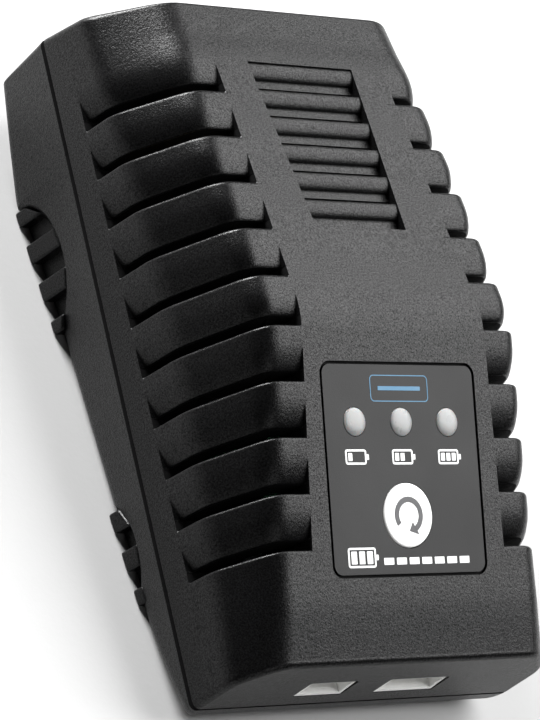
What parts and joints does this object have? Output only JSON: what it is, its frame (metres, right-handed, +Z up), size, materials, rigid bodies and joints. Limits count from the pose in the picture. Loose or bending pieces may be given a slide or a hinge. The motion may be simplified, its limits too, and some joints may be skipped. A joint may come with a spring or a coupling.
{
  "type": "balance battery charger",
  "caption": "Compact mains balance charger for model battery packs: black two-part case, gill-like side vents, sloping key panel, balance sockets at the front and a mains inlet at the back.",
  "frame": {"origin": "centre of the case footprint, on the flat base", "axes": "+X to the right seen from the socket end, +Y to the mains inlet at the back, +Z up"},
  "size_m": [0.0614, 0.1058, 0.0403],
  "materials": {
    "shell_plastic": "black ABS with a fine spark-eroded texture",
    "label_film": "dark grey printed film, satin",
    "white_key": "white key top, satin",
    "black_plastic": "black moulded plastic",
    "milky_plastic": "milky light guide",
    "nylon": "natural white nylon",
    "clear_plastic": "clear lamp body",
    "circuit_board": "green solder mask",
    "ribbon": "white flat ribbon",
    "steel": "zinc-plated steel",
    "tin": "tinned brass contacts",
    "aluminium": "plain pressed aluminium",
    "ferrite": "dark sintered ferrite",
    "copper": "enamelled copper wire",
    "yellow_tape": "yellow insulating tape and casing",
    "blue_epoxy": "blue epoxy coating",
    "brown_plastic": "brown moulded cap"
  },
  "bodies": {
    "case": {"upper_shell": "shell_plastic", "lower_shell": "shell_plastic", "label_overlay": "label_film", "rating_label": "label_film", "switch_body": "black_plastic", "led_window_left": "milky_plastic", "led_left": "clear_plastic", "led_window_middle": "milky_plastic", "led_middle": "clear_plastic", "led_window_right": "milky_plastic", "led_right": "clear_plastic", "front_board": "circuit_board", "board_ribbon": "ribbon", "front_board_screw_left": "steel", "inlet_pin_left": "tin", "choke_winding_left": "copper", "front_board_screw_right": "steel", "inlet_pin_right": "tin", "choke_winding_right": "copper", "main_board": "circuit_board", "balance_socket_2s": "nylon", "balance_socket_2s_pin_1": "tin", "balance_socket_2s_pin_2": "tin", "balance_socket_2s_pin_3": "tin", "balance_socket_3s": "nylon", "balance_socket_3s_pin_1": "tin", "balance_socket_3s_pin_2": "tin", "balance_socket_3s_pin_3": "tin", "balance_socket_3s_pin_4": "tin", "mains_inlet_body": "black_plastic", "mains_fuse": "brown_plastic", "surge_varistor": "blue_epoxy", "noise_capacitor": "yellow_tape", "choke_core": "ferrite", "bridge_rectifier": "black_plastic", "bulk_capacitor": "black_plastic", "transformer_core_lower": "ferrite", "transformer_core_upper": "ferrite", "transformer_bobbin": "black_plastic", "transformer_winding": "yellow_tape", "safety_capacitor": "blue_epoxy", "switching_transistor": "black_plastic", "primary_heatsink": "aluminium", "output_rectifier": "black_plastic", "output_heatsink": "aluminium", "output_capacitor_left": "black_plastic", "output_capacitor_right": "black_plastic", "output_inductor": "copper", "feedback_optocoupler": "black_plastic", "charge_controller": "black_plastic", "balance_transistor_left": "black_plastic", "balance_transistor_right": "black_plastic", "case_screw_back_right": "steel", "case_screw_back_left": "steel", "case_screw_front_right": "steel", "case_screw_front_left": "steel"},
    "mode_key": {"mode_button": "white_key", "switch_plunger": "black_plastic"}
  },
  "joints": [
    {"name": "mode_press", "type": "slide", "parent": "case", "child": "mode_key", "axis": [0, 0.3786, -0.9255], "range_m": [0, 0.0004], "stiffness_N_per_m": 3000, "springref_m": -0.0002}
  ]
}
